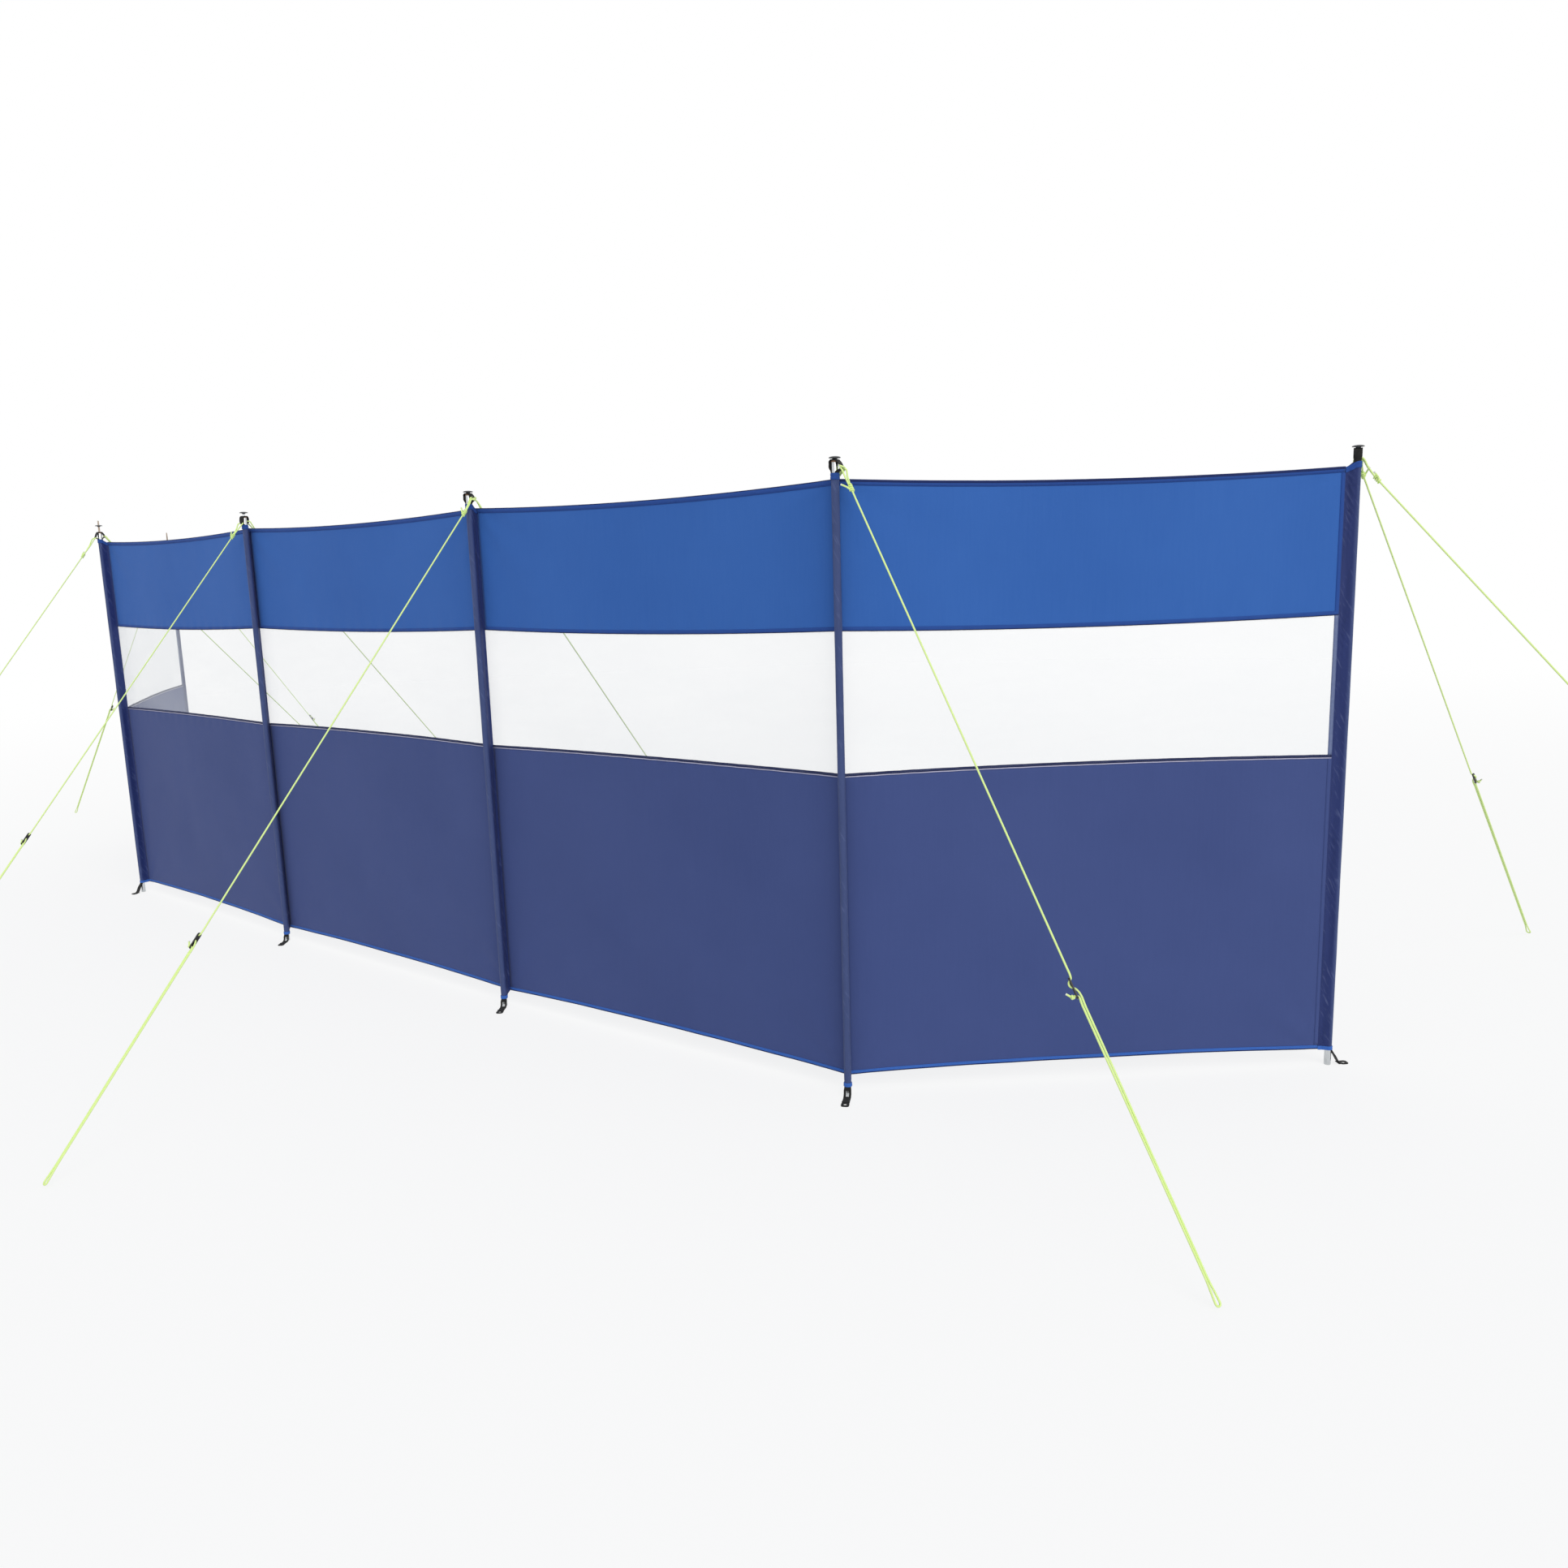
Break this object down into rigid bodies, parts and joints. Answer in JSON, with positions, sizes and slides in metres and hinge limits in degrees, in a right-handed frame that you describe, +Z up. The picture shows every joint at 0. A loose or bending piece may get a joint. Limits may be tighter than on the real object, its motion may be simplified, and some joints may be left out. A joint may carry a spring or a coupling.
{
  "type": "beach windbreak",
  "caption": "Folding cloth windbreak with clear window strips, set up in angled bays on upright steel poles and held taut by bright guy lines.",
  "frame": {"origin": "middle of the corner pole's foot, the fifth pole, on the ground", "axes": "+X along the last bay from the corner pole, +Y towards the sheltered side, +Z up"},
  "size_m": [6.2364, 5.59, 1.526],
  "materials": {
    "steel": "bright plated steel tube",
    "cap": "dark grey moulded cap",
    "blue_cloth": "royal blue woven polyester",
    "navy_cloth": "navy woven polyester",
    "window_film": "clear flexible film",
    "webbing": "black woven webbing",
    "guy_line": "lime braided cord",
    "runner": "black moulded plastic"
  },
  "bodies": {
    "root": {"pole_1": "steel", "sleeve_1": "navy_cloth", "pole_2": "steel", "sleeve_2": "navy_cloth", "pole_3": "steel", "sleeve_3": "navy_cloth", "pole_4": "steel", "sleeve_4": "navy_cloth", "pole_5": "steel", "sleeve_5": "navy_cloth", "pole_6": "steel", "sleeve_6": "navy_cloth", "pole_caps": "cap", "upper_band_1": "blue_cloth", "window_1": "window_film", "lower_panel_1": "navy_cloth", "upper_band_2": "blue_cloth", "window_2": "window_film", "lower_panel_2": "navy_cloth", "upper_band_3": "blue_cloth", "window_3": "window_film", "lower_panel_3": "navy_cloth", "upper_band_4": "blue_cloth", "window_4": "window_film", "lower_panel_4": "navy_cloth", "upper_band_5": "blue_cloth", "window_5": "window_film", "lower_panel_5": "navy_cloth", "top_straps": "webbing", "foot_straps": "webbing", "outer_guy_1": "guy_line", "inner_guy_1": "guy_line", "outer_guy_2": "guy_line", "inner_guy_2": "guy_line", "outer_guy_3": "guy_line", "inner_guy_3": "guy_line", "outer_guy_4": "guy_line", "inner_guy_4": "guy_line", "outer_guy_5": "guy_line", "inner_guy_5": "guy_line", "outer_guy_6": "guy_line", "inner_guy_6": "guy_line", "guy_runners": "runner"}
  },
  "joints": []
}
